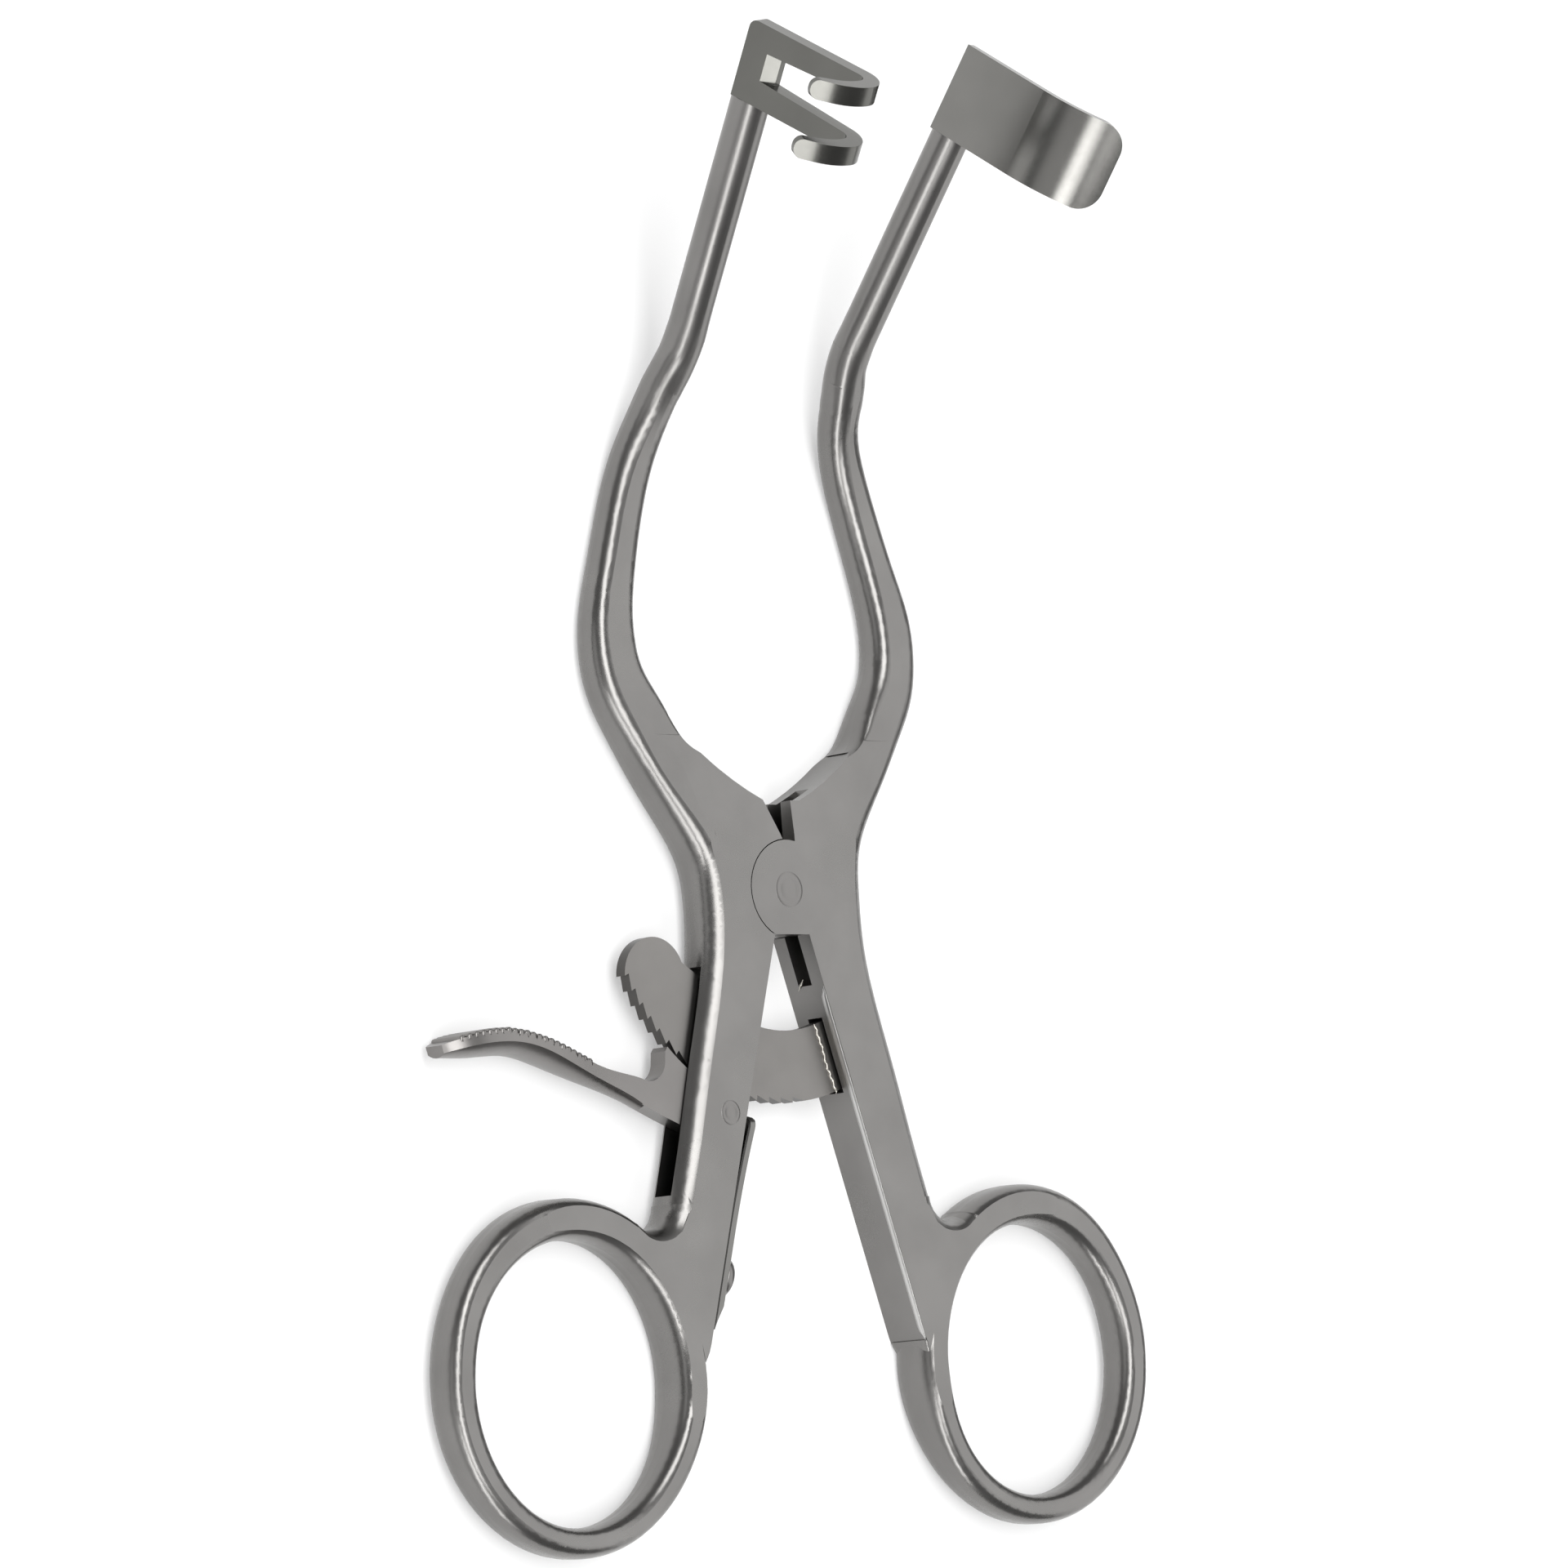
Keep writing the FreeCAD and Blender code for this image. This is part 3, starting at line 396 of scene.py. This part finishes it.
def knee_blend(node, body, side, mat):
    """Forged run of an arm into its round rod: a smooth skin just over the solid's own step."""
    knots = [Vector((side * x, y, z)) * MM for x, y, z in KNEE]
    rod = Vector((side * ROD_AXIS[0], ROD_AXIS[1], ROD_AXIS[2])).normalized()
    knots += [knots[-1] + rod * KNEE_RUN * MM, knots[-1] + rod * 2 * KNEE_RUN * MM]
    line = spaced(knots, KNEE_STEP * MM)
    tree = surface(node)
    rays, reach = [], []
    for i, point in enumerate(line):
        across, up = across_line(line, i)
        spokes = [across * math.cos(a) + up * math.sin(a) for a in angles(KNEE_SPOKES)]
        rays.append(spokes)
        reach.append([tree.ray_cast(point, spoke)[3] or ROD_R * MM for spoke in spokes])
    count = len(line)

    def over(table, window, pick):
        return [[pick([table[min(count - 1, max(0, i + w))][k] for w in range(-window, window + 1)])
                 for k in range(KNEE_SPOKES)] for i in range(count)]

    grown_reach = over(reach, KNEE_WINDOW, max)
    for _ in range(KNEE_ROUNDS):
        grown_reach = over(grown_reach, KNEE_WINDOW // 2, lambda row: sum(row) / len(row))
    rings = []
    for i, point in enumerate(line):
        share = smooth_step(min(i, count - 1 - i) * KNEE_STEP / KNEE_FADE)
        ring = []
        for k in range(KNEE_SPOKES):
            buried = reach[i][k] - KNEE_BURIED * MM
            ring.append(point + rays[i][k] * (buried + (grown_reach[i][k] - buried) * share))
        rings.append(ring)
    grown(skin(rings), node + "_knee", mat, body)


def pin_caps(mat):
    """Thin filed-over ends of the pins, flush on both faces."""
    for name, (x, y), radius, body in PIN_ENDS:
        for face, height, out in (("front", LOCK_THICK, 1), ("back", 0.0, -1)):
            profile = [(share * radius * MM, rise * MM) for share, rise in PIN_CAP]
            cap = turned(profile, (x * MM, y * MM, height * MM), (0, 0, out), PIN_SEGMENTS)
            grown(cap, f"{name}_{face}", mat, body)


def rivet(mat):
    """Domed rivet that holds the leaf spring."""
    profile = [(radius * MM, rise * MM) for radius, rise in RIVET_HEAD]
    dome = turned(profile, Vector(RIVET_SEAT) * MM, RIVET_OUT, RIVET_SEGMENTS)
    piece = grown(dome, "domed_rivet", mat, "fork_side")
    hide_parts("spring_screw")


def beads(mat):
    """Bright uneven beads on the right arm: braze at the bar's root, and a painted highlight at the end of
    the knuckle's slot.
    """
    lump, slow, quick = BEAD_LUMPS
    far, often = BEAD_SWAY
    for name, slot, radius, points in BEADS:
        line = spaced([Vector(point) * MM for point in points], BEAD_STEP * MM)
        rings = []
        for i, point in enumerate(line):
            across, up = across_line(line, i)
            ends = smooth_step(min(i, len(line) - 1 - i) / BEAD_FADE)
            swell = radius * MM * (BEAD_END + (1 - BEAD_END) * ends)
            swell *= 1 + lump * math.sin(i * slow) * math.sin(i * quick + 1)
            middle = point + across * radius * MM * far * math.sin(i * often)
            rings.append([middle + (across * math.cos(a) + up * math.sin(a)) * swell
                          for a in angles(BEAD_SIDES)])
        grown(skin(rings), name, mat, "blade_side")


def spring_leaf(mat):
    """Leaf spring as a strip that stands just off the shank's wall and lifts further off it towards its top
    end.
    """
    (x_low, y_low), (x_high, y_high) = SPRING_WALL
    slope = (x_high - x_low) / (y_high - y_low)
    bottom, top = SPRING_ENDS
    back, front = SPRING_FACES
    count = round((top - bottom) / SPRING_STEP)
    rings = []
    for i in range(count + 1):
        y = bottom + (top - bottom) * i / count
        rise = max(0.0, (y - SPRING_LEAVES_Y) / (y_high - SPRING_LEAVES_Y))
        wall = x_low + slope * (y - y_low) + SPRING_LIFT * rise * rise + SPRING_GAP
        near_top = min(1.0, (top - y + SPRING_TOP[0]) / SPRING_TOP[1])
        near_foot = min(1.0, (y - bottom + SPRING_FOOT[0]) / SPRING_FOOT[1])
        thick = SPRING_THICK * math.sqrt(1 - (1 - near_top) ** 2) * near_foot
        near_corner = max(0.0, 1 - (top - y + SPRING_CORNER[0]) / SPRING_CORNER[1])
        inset = SPRING_CORNER[1] * (1 - math.sqrt(1 - near_corner ** 2))
        soft = min(SPRING_SOFT, thick / 3)
        low, high = back + inset, front - inset
        section = ((0, low + soft), (soft, low), (thick - soft, low), (thick, low + soft),
                   (thick, high - soft), (thick - soft, high), (soft, high), (0, high - soft))
        rings.append([Vector((wall + x, y, z)) * MM for x, z in section])
    piece = grown(skin(rings), "spring_leaf", mat, None)
    piece.data.set_sharp_from_angle(angle=HARD_EDGE)
    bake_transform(piece)
    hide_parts("leaf_spring")


def painted_highlight_band(mat):
    """Strip of much lighter steel along the front of the right shank's inner wall: a painted highlight."""
    tree = surface("right_arm")
    top, bottom = BAND_ENDS
    x_top, y_top = BAND_WALL
    foot, lip = BAND_BEVEL
    count = round((top - bottom) / BAND_STEP)
    rings = []
    for i in range(count + 1):
        y = top + (bottom - top) * i / count
        beside = x_top - BAND_SLOPE * (y - y_top) - BAND_BESIDE
        walls = [tree.ray_cast(Vector((beside, y, z)) * MM, Vector((1, 0, 0)))[0] for z in BAND_FACES]
        wall = min(hit.x / MM for hit in walls if hit is not None)
        taper = smooth_step(min(i + 0.5, count - i + 0.5) / BAND_FADE)
        low, high = BAND_FACES
        low = high - (high - low) * taper
        section = ((BAND_SUNK, low), (-BAND_PROUD[0] * taper, low + foot), (-BAND_PROUD[1], high - lip),
                   (BAND_SUNK, high))
        rings.append([Vector((wall + x, y, z)) * MM for x, z in section])
    grown(skin(rings), "painted_highlight_band", mat, "blade_side")


def ridges(mat):
    """Serrations across the top of the lever's thumb rest."""
    tree = surface("release_lever")
    bm = bmesh.new()

    def hit(x):
        return tree.ray_cast(Vector((x, RIDGE_ABOVE, LOCK_THICK / 2)) * MM, Vector((0, -1, 0)))[0]

    for i in range(RIDGE_COUNT):
        x = RIDGE_FROM_X + RIDGE_PITCH * i
        slope = (hit(x + 1).y - hit(x - 1).y) / (2 * MM)
        top = hit(x)
        top.y = max(hit(x + step).y - slope * step * MM for step in RIDGE_FEELERS)
        inside = top - Vector((0, RIDGE_INSIDE, 0)) * MM
        front = tree.ray_cast(inside, Vector((0, 0, 1)))[0]
        back = tree.ray_cast(inside, Vector((0, 0, -1)))[0]
        if front is None or back is None:
            continue
        ends = [(back.z + deep * MM, share) for deep, share in RIDGE_ENDS]
        ends += [(front.z - deep * MM, share) for deep, share in reversed(RIDGE_ENDS)]
        rings = []
        for height, share in ends:
            radius = RIDGE_R * MM * share
            middle = top.y - RIDGE_SUNK * MM
            rings.append([Vector((top.x + radius * math.cos(a), middle + radius * math.sin(a), height))
                          for a in angles(RIDGE_SIDES)])
        skin(rings, bm)
    grown(bm, "thumb_ridges", mat, "lever")


def draw_hooks(bm):
    """Thins and curls the hooks towards their tips."""
    root, along = Vector(HOOK_ROOT) * MM, Vector(HOOK_ALONG).normalized()
    outward = Vector(HOOK_OUTWARD).normalized()
    reach = HOOK_REACH * MM

    def depth(point):
        return (point - root).dot(outward)

    def in_hook(point):
        return -HOOK_DEPTH * MM < depth(point) < HOOK_MARGIN * MM

    def curled(past):
        run = rise = 0.0
        for k in range(CURL_STEPS):
            turn = HOOK_CURL * smooth_step(past * (k + 0.5) / CURL_STEPS / HOOK_CURLED)
            run += math.cos(turn) * past * reach / CURL_STEPS
            rise += math.sin(turn) * past * reach / CURL_STEPS
        return run, rise

    for i in range(1, HOOK_CUTS):
        hooks = [f for f in bm.faces if in_hook(f.calc_center_median())]
        edges = {e for f in hooks for e in f.edges}
        verts = {v for f in hooks for v in f.verts}
        bmesh.ops.bisect_plane(bm, geom=[*verts, *edges, *hooks], dist=ON_PLANE,
                               plane_co=root + along * reach * i / HOOK_CUTS, plane_no=along)
    for vert in bm.verts:
        past = (vert.co - root).dot(along) / reach
        if past > 0 and in_hook(vert.co):
            turn = HOOK_CURL * smooth_step(past / HOOK_CURLED)
            thick = -depth(vert.co) * (1 - HOOK_TAPER * past ** HOOK_TAPER_POWER)
            flat = vert.co - along * (vert.co - root).dot(along) - outward * depth(vert.co)
            run, rise = curled(past)
            run += math.sin(turn) * thick
            rise -= math.cos(turn) * thick
            vert.co = flat + along * run * HOOK_KEPT + outward * rise


def chamfer_window(bm):
    """Cuts the chamfer at the root of the fork's window."""
    front, deep = Vector(PLATE_FRONT).normalized(), Vector(PRONG_ALONG).normalized()
    corners = [min(bm.verts, key=lambda v, p=p: (v.co - Vector(p) * MM).length) for p in WINDOW_BROW]
    wall = {f for v in corners for f in v.link_faces}
    edges = {e for f in wall for e in f.edges}
    verts = {v for f in wall for v in f.verts}
    inside = (corners[0].co + corners[1].co) / 2 - front * BROW_DROP * MM
    bmesh.ops.bisect_plane(bm, geom=[*wall, *edges, *verts], dist=ON_PLANE, plane_co=inside, plane_no=front)
    for corner in corners:
        corner.co -= deep * BROW_CHAMFER * MM


def forged_fork(mat):
    """Fork blade with drawn hooks, a chamfered window and soft edges, as a forging has."""
    bm = bmesh.new()
    bm.from_mesh(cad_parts["fork_blade"].data)
    bmesh.ops.remove_doubles(bm, verts=bm.verts, dist=SAME_POINT)
    bmesh.ops.dissolve_limit(bm, angle_limit=FLAT_WITHIN, verts=bm.verts, edges=bm.edges)
    draw_hooks(bm)
    chamfer_window(bm)
    piece = grown(bm, "forged_fork", mat, "fork_side")
    piece.data.set_sharp_from_angle(angle=HARD_EDGE)
    bevel = piece.modifiers.new("soft_edges", "BEVEL")
    bevel.width = EDGE_SOFT * MM
    bevel.segments = EDGE_SEGMENTS
    bevel.limit_method = "ANGLE"
    bevel.angle_limit = HARD_EDGE
    bevel.harden_normals = True
    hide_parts("fork_blade")


def floor():
    """Pale table top that the instrument lies on, white to the camera and in reflections."""
    bpy.ops.mesh.primitive_circle_add(vertices=FLOOR_SIDES, radius=FLOOR_R, fill_type="NGON")
    table = bpy.context.object
    table.name = "floor"
    mat = bpy.data.materials.new("floor")
    mat.use_nodes = True
    nodes, links = mat.node_tree.nodes, mat.node_tree.links
    shader = nodes["Principled BSDF"]
    shader.inputs["Base Color"].default_value = (*FLOOR, 1)
    shader.inputs["Roughness"].default_value = FLOOR_ROUGHNESS
    shader.inputs["Specular IOR Level"].default_value = FLOOR_SPECULAR
    path = nodes.new("ShaderNodeLightPath")
    either = nodes.new("ShaderNodeMath")
    mirrored = nodes.new("ShaderNodeMath")
    glow = nodes.new("ShaderNodeMath")
    for node, ray in ((either, "Is Camera Ray"), (mirrored, "Is Glossy Ray")):
        node.operation = "MAXIMUM"
        links.new(path.outputs[ray], node.inputs[0])
    links.new(mirrored.outputs["Value"], either.inputs[1])
    links.new(path.outputs["Is Transmission Ray"], mirrored.inputs[1])
    glow.operation = "MULTIPLY"
    glow.inputs[1].default_value = GLOW
    links.new(either.outputs["Value"], glow.inputs[0])
    links.new(glow.outputs["Value"], shader.inputs["Emission Strength"])
    shader.inputs["Emission Color"].default_value = (1, 1, 1, 1)
    table.data.materials.append(mat)


def softbox(name, direction, distance, width, length, power):
    """Area lamp that faces the object, its length along the instrument."""
    lamp = bpy.data.lights.new(name, "AREA")
    lamp.shape = "RECTANGLE"
    lamp.size = width
    lamp.size_y = length
    lamp.energy = power
    obj = bpy.data.objects.new(name, lamp)
    bpy.context.scene.collection.objects.link(obj)
    back = Vector(direction).normalized()
    side = Vector((0, 1, 0)).cross(back).normalized()
    up = back.cross(side)
    turn = Matrix((side, up, back)).transposed().to_4x4()
    obj.matrix_world = Matrix.Translation(Vector(LIT_POINT) + back * distance) @ turn


def lights():
    """Soft lamps round the object and a dim sky."""
    world = bpy.data.worlds.new("sky")
    world.use_nodes = True
    world.node_tree.nodes["Background"].inputs["Color"].default_value = (SKY, SKY, SKY, 1)
    bpy.context.scene.world = world
    for lamp in LAMPS:
        softbox(*lamp)


def camera():
    """Camera at the photograph's place."""
    up = Vector((0, 1, 0))
    up = (up - TO_EYE * up.dot(TO_EYE)).normalized()
    right = up.cross(TO_EYE)
    turned_right = right * math.cos(ROLL) - up * math.sin(ROLL)
    turned_up = right * math.sin(ROLL) + up * math.cos(ROLL)
    data = bpy.data.cameras.new("camera")
    data.sensor_width = SENSOR
    data.lens = LENS
    data.clip_start, data.clip_end = CLIP
    obj = bpy.data.objects.new("camera", data)
    bpy.context.scene.collection.objects.link(obj)
    turn = Matrix((turned_right, turned_up, TO_EYE)).transposed().to_4x4()
    obj.matrix_world = Matrix.Translation(EYE) @ turn
    bpy.context.scene.camera = obj


steel = {name: material(name, *facts) for name, facts in STEELS.items()}
dress(steel)
for arm, arm_body, arm_side in KNEES:
    knee_blend(arm, arm_body, arm_side, steel["satin_steel"])
forged_fork(steel["shaded_fork_steel"])
pin_caps(steel["pin_steel"])
rivet(steel["pin_steel"])
beads(steel["braze_and_painted_highlight"])
ridges(steel["lever_steel"])
spring_leaf(steel["spring_steel"])
painted_highlight_band(steel["painted_highlight_edge"])
floor()
lights()
camera()
bpy.context.scene.view_settings.view_transform = "Standard"
